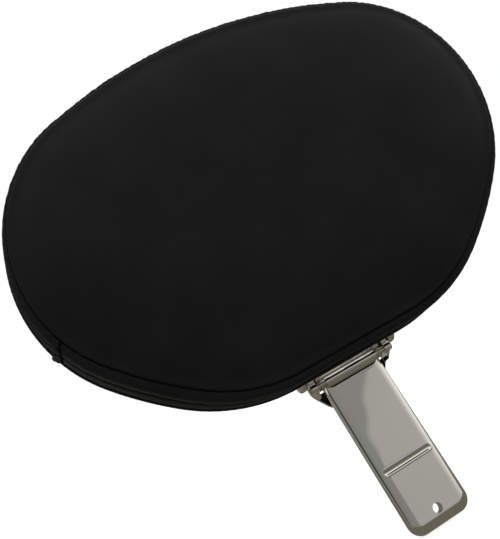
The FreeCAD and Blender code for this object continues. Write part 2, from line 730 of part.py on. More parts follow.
# Disc springs: squeezed by the nut, they give the fold its drag.
disc_springs = ring(new_body("disc_springs"), "spring_radius", "pin_radius + running_gap",
                    "washer_seat", "spring_stack")
on_yoke(disc_springs)
nodes.append(disc_springs)

# Lock nut: a hexagon with a rounded collar.
pin_nut = new_body("pin_nut")
hexagon = polygon(pin_nut, "nut_line", "YZ_Plane", flats(6, "nut_flats"), "nut_seat")
pad(pin_nut, "nut_hexagon", hexagon, "nut_thick")
collar_line = circles(pin_nut, "collar_line", "YZ_Plane", [("0", "0")], "nut_collar_radius", "nut_seat")
pad(pin_nut, "nut_collar", collar_line, "nut_thick + nut_collar_thick")
nut_bore_line = circles(pin_nut, "nut_bore_line", "YZ_Plane", [("0", "0")], "pin_radius + running_gap",
                        "nut_seat")
pocket(pin_nut, "nut_bore", nut_bore_line, "nut_thick + nut_collar_thick", reversed_way=True)
on_yoke(pin_nut)
nodes.append(pin_nut)

# Stop rod, with the polished sleeve on it and a clip outside each ear.
stop_rod = new_body("stop_rod")
rod_line = circles(stop_rod, "rod_line", "YZ_Plane", [("rod_y", "rod_z")], "rod_radius")
pad(stop_rod, "rod_run", rod_line, "2 * (yoke_half_width + rod_end_spare)", both_ways=True)
on_yoke(stop_rod)
nodes.append(stop_rod)

stop_sleeve = new_body("stop_sleeve")
SLEEVE_RUN = "2 * (cheek_inside - sleeve_end_gap)"
sleeve_line = circles(stop_sleeve, "sleeve_line", "YZ_Plane", [("rod_y", "rod_z")], "sleeve_radius")
pad(stop_sleeve, "sleeve_run", sleeve_line, SLEEVE_RUN, both_ways=True)
sleeve_bore_line = circles(stop_sleeve, "sleeve_bore_line", "YZ_Plane", [("rod_y", "rod_z")],
                           "rod_radius + running_gap")
pocket(stop_sleeve, "sleeve_bore", sleeve_bore_line, SLEEVE_RUN, both_ways=True)
on_yoke(stop_sleeve)
nodes.append(stop_sleeve)

clips = []
CLIP_SPOTS = (
    ("right", "yoke_half_width + seam_gap"),
    ("left", "-yoke_half_width - seam_gap - clip_thick"),
)
for side, start in CLIP_SPOTS:
    clip = new_body("rod_clip_" + side)
    pad(clip, "clip_disc_" + side,
        circles(clip, "clip_rim_" + side, "YZ_Plane", [("rod_y", "rod_z")], "clip_radius", start),
        "clip_thick")
    pocket(clip, "clip_bore_" + side,
           circles(clip, "clip_eye_" + side, "YZ_Plane", [("rod_y", "rod_z")], "rod_radius + running_gap",
                   start),
           "clip_thick", reversed_way=True)
    mouth = polygon(clip, "clip_mouth_" + side, "YZ_Plane", (
        ("rod_y - clip_mouth / 2", "rod_z"),
        ("rod_y + clip_mouth / 2", "rod_z"),
        ("rod_y + clip_mouth / 2", "rod_z - 2 * clip_radius"),
        ("rod_y - clip_mouth / 2", "rod_z - 2 * clip_radius"),
    ), start)
    pocket(clip, "clip_opening_" + side, mouth, "clip_thick", reversed_way=True)
    on_yoke(clip)
    clips.append(clip)
rod_clips = doc.addObject("Part::Compound", "rod_clips")
rod_clips.Label = "rod_clips"
rod_clips.Links = clips
nodes.append(rod_clips)

# Yoke: a second channel of the same plate, welded behind the post's top, its ears reaching forward
# round the pin and the stop rod. It is its section, its side view and its front view in one.
yoke_run = new_body("yoke_section")
yoke_line = polygon(yoke_run, "yoke_line", "XY_Plane", (
    ("-yoke_half_width", "yoke_rear"),
    ("-yoke_half_width", "-rod_reach - rod_boss"),
    ("-ear_inside", "-rod_reach - rod_boss"),
    ("-ear_inside", "post_thick / 2"),
    ("ear_inside", "post_thick / 2"),
    ("ear_inside", "-rod_reach - rod_boss"),
    ("yoke_half_width", "-rod_reach - rod_boss"),
    ("yoke_half_width", "yoke_rear"),
), "-yoke_low")
pad(yoke_run, "yoke_channel", yoke_line, "yoke_low + yoke_lobe")
round_edges(yoke_run, "yoke_outer_bends", "bend_radius + plate",
            channel_bends("yoke_rear", "yoke_half_width"))
round_edges(yoke_run, "yoke_inner_bends", "bend_radius", channel_bends("post_thick / 2", "ear_inside"))
on_yoke(yoke_run)

yoke_side = new_body("yoke_side")
yoke_side_line = polygon(yoke_side, "yoke_side_line", "YZ_Plane", (
    ("yoke_rear", "-yoke_low"),
    ("yoke_rear", "sqrt(yoke_lobe^2 - yoke_rear^2)"),
    ("0", "0"),
    ("rod_y - rod_boss * cos(rod_angle)", "rod_z - rod_boss * sin(rod_angle)"),
    ("post_thick / 2", "-yoke_waist - plate"),
    ("post_thick / 2", "-yoke_low"),
))
pad(yoke_side, "yoke_side_blank", yoke_side_line, "2 * yoke_half_width", both_ways=True)
yoke_lobe_line = circles(yoke_side, "yoke_lobe_line", "YZ_Plane", [("0", "0")], "yoke_lobe")
pad(yoke_side, "yoke_lobe_round", yoke_lobe_line, "2 * yoke_half_width", both_ways=True)
yoke_boss_line = circles(yoke_side, "yoke_boss_line", "YZ_Plane", [("rod_y", "rod_z")], "rod_boss")
pad(yoke_side, "yoke_boss", yoke_boss_line, "2 * yoke_half_width", both_ways=True)
yoke_pin_line = circles(yoke_side, "yoke_pin_line", "YZ_Plane", [("0", "0")], "pin_radius + running_gap")
pocket(yoke_side, "yoke_pin_hole", yoke_pin_line, "2 * yoke_half_width", both_ways=True)
yoke_rod_line = circles(yoke_side, "yoke_rod_line", "YZ_Plane", [("rod_y", "rod_z")],
                        "rod_radius + running_gap")
pocket(yoke_side, "yoke_rod_hole", yoke_rod_line, "2 * yoke_half_width", both_ways=True)
on_yoke(yoke_side)

yoke_front = new_body("yoke_front")
yoke_front_line = polygon(yoke_front, "yoke_front_line", "XZ_Plane", (
    ("-yoke_half_width", "yoke_lobe"),
    ("-yoke_half_width", "-yoke_shoulder"),
    ("-post_half_width", "-yoke_waist"),
    ("-yoke_foot_half_width", "-yoke_waist - plate"),
    ("-yoke_foot_half_width", "-yoke_low"),
    ("yoke_foot_half_width", "-yoke_low"),
    ("yoke_foot_half_width", "-yoke_waist - plate"),
    ("post_half_width", "-yoke_waist"),
    ("yoke_half_width", "-yoke_shoulder"),
    ("yoke_half_width", "yoke_lobe"),
))
pad(yoke_front, "yoke_front_blank", yoke_front_line, "2 * yoke_depth", both_ways=True)


def shoulder_edges(edge):
    """The yoke's shoulders and its foot, seen from the front."""
    if not parallel_to(BACK)(edge):
        return False
    return edge.CenterOfMass.z < 0


round_edges(yoke_front, "yoke_shoulder_rounds", "plate / 2", shoulder_edges)
window_line = polygon(yoke_front, "window_line", "XZ_Plane", (
    ("-ear_inside", "-post_top_gap"),
    ("ear_inside", "-post_top_gap"),
    ("ear_inside", "2 * yoke_lobe"),
    ("-ear_inside", "2 * yoke_lobe"),
))
pocket(yoke_front, "window", window_line, "2 * yoke_depth", both_ways=True)
on_yoke(yoke_front)
nodes.append(combined("Part::MultiCommon", "hinge_yoke", [yoke_run, yoke_side, yoke_front]))

# Post: flat bar with rolled-over edges, rounded at the lower end, with a pressed locating groove
# across its face and the retaining hole below that.
post = new_body("post")
post_line = polygon(post, "post_line", "XZ_Plane", (
    ("-post_half_width", "-hole_to_end"),
    ("post_half_width", "-hole_to_end"),
    ("post_half_width", "pin_height - post_top_gap"),
    ("-post_half_width", "pin_height - post_top_gap"),
))
pad(post, "post_bar", post_line, "post_thick", both_ways=True)


def lower_corners(edge):
    if not parallel_to(BACK)(edge):
        return False
    return edge.CenterOfMass.z < 0


def faces_rim(edge):
    """Every edge of the two broad faces, apart from those along the top."""
    middle = edge.CenterOfMass
    on_face = all(abs(abs(v.Point.y) - number("post_thick / 2")) < NEAR for v in edge.Vertexes)
    along_top = abs(middle.z - number("pin_height - post_top_gap")) < NEAR
    return on_face and not parallel_to(BACK)(edge) and not along_top


round_edges(post, "post_end_corners", "post_corner", lower_corners)
round_edges(post, "post_rolled_edges", "post_edge", faces_rim)


def slot_line(body, name):
    """The locating groove's outline: two lines and two half circles."""
    sketch = new_sketch(body, name, "XZ_Plane", "post_thick / 2")
    height = number("groove_height")
    half_width = number("groove_half_width")
    straight = number("groove_half_length - groove_half_width")
    quarter = math.pi / 2
    low = height - half_width
    high = height + half_width
    right_end = Part.Circle(V(straight, height, 0), UP, half_width)
    left_end = Part.Circle(V(-straight, height, 0), UP, half_width)
    sketch.addGeometry(Part.LineSegment(V(-straight, low, 0), V(straight, low, 0)))
    sketch.addGeometry(Part.ArcOfCircle(right_end, -quarter, quarter))
    sketch.addGeometry(Part.LineSegment(V(straight, high, 0), V(-straight, high, 0)))
    sketch.addGeometry(Part.ArcOfCircle(left_end, quarter, 3 * quarter))
    for i in range(4):
        sketch.addConstraint(Sketcher.Constraint("Tangent", i, 2, (i + 1) % 4, 1))
    sketch.addConstraint(Sketcher.Constraint("Horizontal", 0))
    measure(sketch, "Radius", (1,), "groove_half_width")
    measure(sketch, "DistanceX", (-1, 1, 1, 3), "groove_half_length - groove_half_width")
    measure(sketch, "DistanceX", (3, 3, -1, 1), "groove_half_length - groove_half_width")
    measure(sketch, "DistanceY", (-1, 1, 1, 3), "groove_height")
    return sketch


pocket(post, "locating_groove", slot_line(post, "groove_line"), "groove_depth")


def groove_mouth(edge):
    """Where the groove's walls meet the post's face, and where they meet its floor."""
    middle = edge.CenterOfMass
    near = abs(middle.z - number("groove_height")) < number("groove_half_width") + NEAR
    floor = -number("post_thick / 2 - groove_depth")
    return near and abs(middle.y - floor) < NEAR and not parallel_to(BACK)(edge)


round_edges(post, "groove_floor_round", "groove_round", groove_mouth)
post_hole_line = circles(post, "post_hole_line", "XZ_Plane", [("0", "0")], "hole_radius")
pocket(post, "retaining_hole", post_hole_line, "post_thick * 2", both_ways=True)
on_post(post)
nodes.append(post)

doc.recompute()
for thing in doc.Objects:
    if "Invalid" in thing.State or "Error" in thing.State:
        raise ValueError("%s did not rebuild: %s" % (thing.Name, thing.State))
for node in nodes:
    if node.Shape.isNull() or not node.Shape.isValid():
        raise ValueError(node.Label + " has no sound shape")

os.makedirs("parts", exist_ok=True)
for node in nodes:
    node.Shape.exportStep("parts/%s.step" % node.Label)
    print(node.Label, len(node.Shape.Solids), round(node.Shape.Volume), node.Shape.BoundBox)
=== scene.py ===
"""Folding backrest for a motorcycle rider: the look of each piece over the solid model."""
import math
import bpy
import numpy as np
from mathutils import Matrix, Vector


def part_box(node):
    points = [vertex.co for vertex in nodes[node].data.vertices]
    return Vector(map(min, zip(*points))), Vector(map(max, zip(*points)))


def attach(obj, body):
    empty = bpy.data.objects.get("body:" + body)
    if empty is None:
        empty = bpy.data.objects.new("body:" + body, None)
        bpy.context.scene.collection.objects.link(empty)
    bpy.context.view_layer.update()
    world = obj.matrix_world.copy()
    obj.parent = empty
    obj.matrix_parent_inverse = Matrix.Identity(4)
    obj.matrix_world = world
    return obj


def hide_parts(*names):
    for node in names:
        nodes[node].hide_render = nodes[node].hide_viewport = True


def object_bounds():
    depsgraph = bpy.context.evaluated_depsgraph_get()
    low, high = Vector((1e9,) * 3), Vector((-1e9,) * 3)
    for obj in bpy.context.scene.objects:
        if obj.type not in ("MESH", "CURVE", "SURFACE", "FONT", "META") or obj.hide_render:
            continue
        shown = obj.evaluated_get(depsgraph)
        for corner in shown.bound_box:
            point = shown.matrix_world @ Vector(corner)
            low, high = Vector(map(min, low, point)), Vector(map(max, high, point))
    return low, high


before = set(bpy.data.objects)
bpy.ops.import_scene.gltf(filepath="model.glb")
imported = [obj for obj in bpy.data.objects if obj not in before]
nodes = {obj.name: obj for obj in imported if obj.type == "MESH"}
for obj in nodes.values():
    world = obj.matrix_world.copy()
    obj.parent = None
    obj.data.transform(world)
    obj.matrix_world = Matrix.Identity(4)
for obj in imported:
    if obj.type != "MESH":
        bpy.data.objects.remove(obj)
solid_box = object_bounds()

# Post: a flat steel bar with rolled-over edges, polished and plated. The locating groove is pressed
# across its face, and the retaining hole is punched near the lower end. Heights along the bar are
# from the middle of that hole.
PLATING_COLOUR = (0.82, 0.815, 0.775)
TONE_EDGES = (0.35, 0.65)
POST_LEAN = math.radians(13)
HALF_WIDTH, HALF_THICK, END_CORNER = 0.0225, 0.004, 0.009
LOW_END, HIGH_END = -0.010, 0.1015
FACE_ROLL, BACK_ROLL, ROLL_FULLNESS = 0.0074, 0.0034, 2.7
GROOVE_AT, GROOVE_RUN, GROOVE_WIDE, GROOVE_DEEP = 0.0334, 0.0162, 0.0020, 0.0009
GROOVE_FULLNESS = 1.4
LIP_RISE, LIP_OUT, LIP_WIDE = 0.00018, 0.0003, 0.0005
HOLE_RADIUS, HOLE_SIDES, PUNCH_REACH = 0.00325, 64, 0.012
SHARP_OVER = math.radians(50)


def new_material(name, colour, metal, rough, specular=None):
    """A material whose main shader has plain values on its own sockets."""
    made = bpy.data.materials.new(name)
    made.use_nodes = True
    shader = made.node_tree.nodes["Principled BSDF"]
    shader.inputs["Base Color"].default_value = (*colour, 1)
    shader.inputs["Metallic"].default_value = metal
    shader.inputs["Roughness"].default_value = rough
    if specular is not None:
        shader.inputs["Specular IOR Level"].default_value = specular
    return made


def object_noise(material, scale, detail, stretch=(1, 1, 1)):
    """Noise fixed to the piece itself, in metres, drawn out along the axes by the given shares."""
    tree = material.node_tree
    place = tree.nodes.new("ShaderNodeTexCoord")
    shape = tree.nodes.new("ShaderNodeMapping")
    shape.inputs["Scale"].default_value = stretch
    noise = tree.nodes.new("ShaderNodeTexNoise")
    noise.inputs["Scale"].default_value = scale
    noise.inputs["Detail"].default_value = detail
    tree.links.new(place.outputs["Object"], shape.inputs["Vector"])
    tree.links.new(shape.outputs["Vector"], noise.inputs["Vector"])
    return noise.outputs["Fac"]


def between(material, source, low, high, target):
    """Carry a grey value into a shader's number, from low to high."""
    tree = material.node_tree
    span = tree.nodes.new("ShaderNodeMapRange")
    span.inputs["To Min"].default_value = low
    span.inputs["To Max"].default_value = high
    tree.links.new(source, span.inputs["Value"])
    tree.links.new(span.outputs["Result"], tree.nodes["Principled BSDF"].inputs[target])


def two_tone(material, source, first, second):
    """Mix two colours by a grey value."""
    tree = material.node_tree
    ramp = tree.nodes.new("ShaderNodeValToRGB")
    for stop, edge, colour in zip(ramp.color_ramp.elements, TONE_EDGES, (first, second)):
        stop.position = edge
        stop.color = (*colour, 1)
    tree.links.new(source, ramp.inputs["Fac"])
    tree.links.new(ramp.outputs["Color"], tree.nodes["Principled BSDF"].inputs["Base Color"])


def relief(material, source, height, strength):
    """Raise the surface by a grey value, over a height in metres."""
    tree = material.node_tree
    bump = tree.nodes.new("ShaderNodeBump")
    bump.inputs["Strength"].default_value = strength
    bump.inputs["Distance"].default_value = height
    tree.links.new(source, bump.inputs["Height"])
    tree.links.new(bump.outputs["Normal"], tree.nodes["Principled BSDF"].inputs["Normal"])


def finish_node(name, material):
    """Give a carried-over solid its finish."""
    slots = nodes[name].data.materials
    slots.clear()
    slots.append(material)


def put_in_scene(name, data):
    """A new object that holds a mesh, a lamp or a camera."""
    made = bpy.data.objects.new(name, data)
    bpy.context.scene.collection.objects.link(made)
    return made


def leaned(x, y, z):
    """A spot of the upright bar, once the bar leans to the rear."""
    return (x, y * math.cos(POST_LEAN) + z * math.sin(POST_LEAN),
            z * math.cos(POST_LEAN) - y * math.sin(POST_LEAN))


def edge_distance(x, z):
    """How far a spot of the bar is from its outline, whose two lower corners are rounded."""
    to_side = HALF_WIDTH - abs(x)
    to_low, to_high = z - LOW_END, HIGH_END - z
    if to_side < END_CORNER and to_low < END_CORNER:
        to_corner = END_CORNER - math.hypot(END_CORNER - to_side, END_CORNER - to_low)
        return max(0.0, min(to_corner, to_high))
    return max(0.0, min(to_side, to_low, to_high))


def rolled(distance, run):
    """Half the bar's thickness where its edge is rolled over."""
    share = min(1, distance / run)
    return HALF_THICK * math.sqrt(max(0.0, 1 - (1 - share) ** ROLL_FULLNESS))


def groove(x, z):
    """The locating groove below the face, with the slightly raised lip that pressing leaves."""
    off = math.hypot(max(0.0, abs(x) - GROOVE_RUN), z - GROOVE_AT)
    dip = GROOVE_DEEP * math.cos(min(1, off / GROOVE_WIDE) * math.pi / 2) ** GROOVE_FULLNESS
    return dip - LIP_RISE * math.exp(-((off - GROOVE_WIDE - LIP_OUT) / LIP_WIDE) ** 2)


plating = new_material("polished_plating", PLATING_COLOUR, 1, 0.03)
two_tone(plating, object_noise(plating, 18, 3), (0.8, 0.79, 0.735), (0.84, 0.84, 0.8))
between(plating, object_noise(plating, 260, 2, (1, 1, 0.08)), 0.012, 0.035, "Roughness")
relief(plating, object_noise(plating, 26, 1), 0.0007, 0.3)

# The points of its two faces stand in rows, close together at the ends and over the groove, and in
# columns, close together at the sides.
EDGE_STEPS, LOW_RUN, HIGH_RUN = 12, 0.0095, 0.0065
ROW_RUNS = ((0.0005, 0.0284, 0.0011), (0.0290, 0.0379, 0.00028), (0.0386, 0.0949, 0.0012))
SIDE_SHARE, FLAT_SHARE, FLAT_COLUMNS = 0.29, 0.71, 66
ease = [1 - math.cos(k / EDGE_STEPS * math.pi / 2) for k in range(EDGE_STEPS + 1)]
heights = [LOW_END + LOW_RUN * share for share in ease]
for begin, end, step in ROW_RUNS:
    heights += list(np.arange(begin, end, step))
heights += [HIGH_END - HIGH_RUN * share for share in ease[::-1]]
across = [-1 + SIDE_SHARE * share for share in ease]
across += list(np.linspace(-FLAT_SHARE, FLAT_SHARE, FLAT_COLUMNS)[1:-1])
across += [1 - SIDE_SHARE * share for share in ease[::-1]]
corners, faces, front_at, back_at = [], [], {}, {}
for row, z in enumerate(heights):
    dent = max(0.0, END_CORNER - (z - LOW_END))
    wide = HALF_WIDTH - END_CORNER + math.sqrt(max(0.0, END_CORNER ** 2 - dent ** 2))
    for column, share in enumerate(across):
        x = share * wide
        distance = edge_distance(x, z)
        rim = row in (0, len(heights) - 1) or column in (0, len(across) - 1)
        for places, side, run in ((front_at, -1, FACE_ROLL), (back_at, 1, BACK_ROLL)):
            if rim and side > 0:
                places[row, column] = front_at[row, column]
                continue
            y = side * (0 if rim else rolled(distance, run))
            if side < 0:
                y += groove(x, z)
            places[row, column] = len(corners)
            corners.append(leaned(x, y, z))
for row in range(len(heights) - 1):
    for column in range(len(across) - 1):
        spots = ((row, column), (row, column + 1), (row + 1, column + 1), (row + 1, column))
        faces.append([front_at[spot] for spot in spots])
        faces.append([back_at[spot] for spot in spots[::-1]])
bar_mesh = bpy.data.meshes.new("post_bar")
bar_mesh.from_pydata(corners, [], faces)
post_bar = put_in_scene("post_bar", bar_mesh)

# Its retaining hole is punched straight through.
hole_turns = [2 * math.pi * k / HOLE_SIDES for k in range(HOLE_SIDES)]
punch_corners = [leaned(HOLE_RADIUS * math.cos(turn), y, HOLE_RADIUS * math.sin(turn))
                 for y in (-PUNCH_REACH, PUNCH_REACH) for turn in hole_turns]
punch_faces = [(k, HOLE_SIDES + k, HOLE_SIDES + (k + 1) % HOLE_SIDES, (k + 1) % HOLE_SIDES)
               for k in range(HOLE_SIDES)]
punch_faces += [tuple(range(HOLE_SIDES)), tuple(range(HOLE_SIDES, 2 * HOLE_SIDES))[::-1]]
punch_mesh = bpy.data.meshes.new("punch")
punch_mesh.from_pydata(punch_corners, [], punch_faces)
punch = put_in_scene("punch", punch_mesh)
cut = post_bar.modifiers.new("punched", "BOOLEAN")
cut.object = punch
cut.solver = "EXACT"
bpy.context.view_layer.update()
punched = bpy.data.meshes.new_from_object(
    post_bar.evaluated_get(bpy.context.evaluated_depsgraph_get()))
post_bar.modifiers.clear()
post_bar.data = punched
bpy.data.objects.remove(punch, do_unlink=True)
punched.polygons.foreach_set("use_smooth", [True] * len(punched.polygons))
punched.set_sharp_from_angle(angle=SHARP_OVER)
punched.materials.clear()
punched.materials.append(plating)
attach(post_bar, "post_group")
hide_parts("post")

# Yoke: a channel pressed from plate and welded behind the post's top. Its ears are plated and polished
# with the post. The face of its web between them is painted near black, as painted shade under the pad.
WEB_SHADE_BLACK, WEB_SLACK = (0.012, 0.011, 0.01), 0.0004
yoke_plating = new_material("yoke_plating", PLATING_COLOUR, 1, 0.06)
between(yoke_plating, object_noise(yoke_plating, 200, 3), 0.03, 0.1, "Roughness")
relief(yoke_plating, object_noise(yoke_plating, 120, 2), 0.0003, 0.25)
yoke_tree = yoke_plating.node_tree
yoke_place = yoke_tree.nodes.new("ShaderNodeTexCoord")
behind = yoke_tree.nodes.new("ShaderNodeVectorMath")
behind.operation = "DOT_PRODUCT"
behind.inputs[1].default_value = (0, math.cos(POST_LEAN), -math.sin(POST_LEAN))
# Painted shade: where the yoke's surface lies on the web's face, behind the post, its colour turns near
# black.
on_web = yoke_tree.nodes.new("ShaderNodeMath")
on_web.operation = "COMPARE"
on_web.inputs[1].default_value = HALF_THICK
on_web.inputs[2].default_value = WEB_SLACK
web_shade = yoke_tree.nodes.new("ShaderNodeMixRGB")
web_shade.inputs["Color1"].default_value = (*PLATING_COLOUR, 1)
web_shade.inputs["Color2"].default_value = (*WEB_SHADE_BLACK, 1)
yoke_tree.links.new(yoke_place.outputs["Object"], behind.inputs[0])
yoke_tree.links.new(behind.outputs["Value"], on_web.inputs[0])
yoke_tree.links.new(on_web.outputs["Value"], web_shade.inputs["Fac"])
yoke_tree.links.new(web_shade.outputs["Color"], yoke_tree.nodes["Principled BSDF"].inputs["Base Color"])
finish_node("hinge_yoke", yoke_plating)

# Pad bracket: a channel pressed from plate, screwed to the board behind the pad. It is plated like the
# post but isn't polished, so it is duller.
bracket_plating = new_material("bracket_plating", (0.8, 0.79, 0.75), 1, 0.16)
between(bracket_plating, object_noise(bracket_plating, 140, 4, (1, 1, 0.2)), 0.1, 0.24, "Roughness")
two_tone(bracket_plating, object_noise(bracket_plating, 40, 3), (0.74, 0.73, 0.69), (0.84, 0.835, 0.8))
relief(bracket_plating, object_noise(bracket_plating, 90, 2), 0.0003, 0.2)
finish_node("pad_bracket", bracket_plating)

# Hinge pin, pivot tube and the sleeve of the stop rod: drawn steel bar and tube, plated and polished
# along their length, so faint lines run from end to end.
END_TO_END = (0.02, 1, 1)
drawn = new_material("drawn_bar", (0.88, 0.875, 0.84), 1, 0.1)
between(drawn, object_noise(drawn, 400, 1, END_TO_END), 0.05, 0.1, "Roughness")
two_tone(drawn, object_noise(drawn, 380, 1, END_TO_END), (0.66, 0.64, 0.57), (0.95, 0.95, 0.93))
relief(drawn, object_noise(drawn, 400, 1, END_TO_END), 0.0002, 0.12)
for name in ("hinge_pin", "pivot_tube", "stop_sleeve"):
    finish_node(name, drawn)

# Washers, lock nut, stop rod, its clips and the tee nuts: turned or stamped from steel and zinc plated,
# which leaves a faint yellow cast.
zinc = new_material("zinc_plate", (0.74, 0.72, 0.64), 1, 0.3)
between(zinc, object_noise(zinc, 500, 4), 0.22, 0.42, "Roughness")
two_tone(zinc, object_noise(zinc, 120, 3), (0.68, 0.66, 0.56), (0.8, 0.79, 0.73))
relief(zinc, object_noise(zinc, 700, 2), 0.0002, 0.2)
for name in ("pin_washers", "pin_nut", "stop_rod", "rod_clips", "tee_nuts"):
    finish_node(name, zinc)

# Disc springs, which give the fold its drag, and the bracket's flanged screws: hardened steel,
# blackened and oiled.
blackened = new_material("blackened_steel", (0.03, 0.03, 0.032), 1, 0.4)
between(blackened, object_noise(blackened, 400, 3), 0.32, 0.5, "Roughness")
two_tone(blackened, object_noise(blackened, 150, 3), (0.022, 0.022, 0.024), (0.05, 0.048, 0.045))
for name in ("disc_springs", "bracket_screws"):
    finish_node(name, blackened)

# Drag washers: cut from plain dark plastic sheet, and slipped over the pin between the bracket's
# cheeks and the yoke's ears.
sheet_plastic = new_material("sheet_plastic", (0.04, 0.04, 0.042), 0, 0.5)
between(sheet_plastic, object_noise(sheet_plastic, 300, 3), 0.42, 0.6, "Roughness")
two_tone(sheet_plastic, object_noise(sheet_plastic, 90, 2), (0.035, 0.035, 0.037), (0.05, 0.05, 0.052))
finish_node("drag_washers", sheet_plastic)

# Base board: birch plywood inside the pad, cut to the pad's outline. The tee nuts are pressed into it,
# and the cover is pulled over its edge.
plywood = new_material("plywood", (0.55, 0.4, 0.24), 0, 0.7)
two_tone(plywood, object_noise(plywood, 60, 4, (0.1, 4, 1)), (0.42, 0.29, 0.16), (0.62, 0.47, 0.3))
relief(plywood, object_noise(plywood, 200, 3, (0.1, 1, 1)), 0.0005, 0.4)
finish_node("base_board", plywood)

# Cushion: moulded foam under a cover of black coated fabric, sewn from a face panel and two side
# bands, then pulled tight over the board. The face is crowned, the bands flare out to the rear edge,
# most of all below, and each swells between its seams.
TOP_RADIUS, FLANK_RADIUS = 0.32, 0.242
# Half width, top, bottom, rise of the widest point, round of the lower corners, turn to the lower sides
FRONT_LINE = (0.163, 0.1075, 0.109, 0.007, 0.099, math.radians(40.7))
REAR_LINE = (0.1673, 0.109, 0.1175, 0.0016, 0.116, math.radians(41.2))
LOW_POINTS, ARC_POINTS, COLUMNS = 40, 160, 880
DEPTH, MIDDLE_SEAM, FLAT_RUN = 0.031, 0.0155, 0.078
RIM_RISE, RIM_RUN, CROWN_RISE, MIDDLE_RISE = 0.0045, 0.006, 0.0105, 0.0004
FRONT_FLARE, REAR_FLARE, FLARE_HASTE, FLARE_FULLNESS = 0.7, 0.3, 4.5, 1.8
FRONT_SWELL, REAR_SWELL, SWELL_FULLNESS = 0.0005, 0.0009, 0.6
seam_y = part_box("front_band")[0].y
pad_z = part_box("front_panel")[0].z + FRONT_LINE[2]


def pad_line(half_width, top, bottom, rise, corner, turn):
    """Points and outward ways round an outline, from the bottom's middle by the right side."""
    span = top - rise
    shoulder = (2 * TOP_RADIUS * span - span ** 2 - half_width ** 2) / (2 * (TOP_RADIUS - half_width))
    shoulder_x = half_width - shoulder
    flank_x = shoulder_x - (FLANK_RADIUS - shoulder) * math.cos(turn)
    flank_z = rise + (FLANK_RADIUS - shoulder) * math.sin(turn)
    corner_z = corner - bottom
    corner_x = flank_x + math.sqrt((FLANK_RADIUS - corner) ** 2 - (flank_z - corner_z) ** 2)
    flank_start = math.atan2(corner_z - flank_z, corner_x - flank_x)
    shoulder_end = math.atan2(rise - (top - TOP_RADIUS), shoulder_x)
    points = [(x, -bottom, 0.0, -1.0) for x in np.linspace(0, corner_x, LOW_POINTS)[:-1]]
    arcs = (
        (corner_x, corner_z, corner, -math.pi / 2, flank_start),
        (flank_x, flank_z, FLANK_RADIUS, flank_start, -turn),
        (shoulder_x, rise, shoulder, -turn, shoulder_end),
        (0, top - TOP_RADIUS, TOP_RADIUS, shoulder_end, math.pi / 2),
    )
    for x, z, radius, begin, finish in arcs:
        for angle in np.linspace(begin, finish, ARC_POINTS)[:-1]:
            way = (math.cos(angle), math.sin(angle))
            points.append((x + radius * way[0], z + radius * way[1], *way))
    right = np.array(points)
    left = right[:0:-1] * np.array([-1, 1, -1, 1])
    return np.vstack([right, [[0, top, 0, 1]], left, right[:1]])


def pad_edges(columns):
    """The front seam's outline and the rear edge's, point by point, and the seam's length."""
    front, rear = pad_line(*FRONT_LINE), pad_line(*REAR_LINE)
    along = np.r_[0, np.cumsum(np.hypot(*np.diff(front[:, :2], axis=0).T))]
    steps = np.linspace(0, along[-1], columns, endpoint=False)
    both = []
    for line in (front, rear):
        found = np.stack([np.interp(steps, along, line[:, i]) for i in range(4)], 1)
        found[:, 2:] /= np.hypot(found[:, 2], found[:, 3])[:, None]
        both.append(found)
    return both[0], both[1], along[-1]


def face_rise(run):
    """How far the face stands before the seam, at a distance in from it."""
    share = np.clip(run / FLAT_RUN, 0, 1)
    return RIM_RISE * (1 - np.exp(-run / RIM_RUN)) + CROWN_RISE * (1 - (1 - share) ** 2)


def band_line(depth):
    """The share of the flare and the swell of the side bands, at a depth behind the front seam."""
    front = np.clip(depth / MIDDLE_SEAM, 0, 1)
    rear = np.clip((depth - MIDDLE_SEAM) / (DEPTH - MIDDLE_SEAM), 0, 1)
    flare = FRONT_FLARE * (1 - np.exp(-front * FLARE_HASTE)) / (1 - math.exp(-FLARE_HASTE))
    flare = flare + REAR_FLARE * (1 - (1 - rear) ** FLARE_FULLNESS)
    swell = FRONT_SWELL * np.sin(front * math.pi) ** SWELL_FULLNESS
    swell = swell + REAR_SWELL * np.sin(rear * math.pi) ** SWELL_FULLNESS
    return flare, swell


def ring_at(front, rear, way):
    """One ring of the cover. way is under 0 across the face, and past 0 it is the depth behind."""
    if way < 0:
        flare, grow, ahead = 0.0, way, face_rise(-way)
    else:
        flare, grow = band_line(way)
        ahead = -way
    mixed = front + (rear - front) * flare
    return np.stack([mixed[:, 0] + mixed[:, 2] * grow, np.full(len(mixed), seam_y - ahead),
                     mixed[:, 1] + mixed[:, 3] * grow + pad_z], 1)


def closed_form(front, rear, ways, shrinks):
    """Rings of points from the middle of the face to the rear, with the middle drawn together."""
    flat = ring_at(front, rear, -FLAT_RUN)
    middle = np.array([0, flat[0, 1] - MIDDLE_RISE, pad_z])
    rings = []
    for share in shrinks:
        ring = middle + (flat - middle) * share
        ring[:, 1] = flat[0, 1] - MIDDLE_RISE * (1 - share ** 2)
        rings.append(ring)
    rings += [ring_at(front, rear, way) for way in ways]
    return np.array(rings)


def ring_faces(rows, columns):
    """Quads between rings of points, with a cap at each end."""
    faces = []
    for row in range(rows - 1):
        for column in range(columns):
            after = (column + 1) % columns
            faces.append((row * columns + column, row * columns + after,
                          (row + 1) * columns + after, (row + 1) * columns + column))
    faces.append(tuple(range(columns))[::-1])
    faces.append(tuple((rows - 1) * columns + i for i in range(columns)))
    return faces


def new_piece(name, corners, faces, material):
    """A smooth shaded mesh, in the scene, with its material."""
    mesh = bpy.data.meshes.new(name)
    mesh.from_pydata(np.asarray(corners).reshape(-1, 3).tolist(), [], faces)
    mesh.polygons.foreach_set("use_smooth", [True] * len(mesh.polygons))
    mesh.update()
    if material:
        mesh.materials.append(material)
    return put_in_scene(name, mesh)


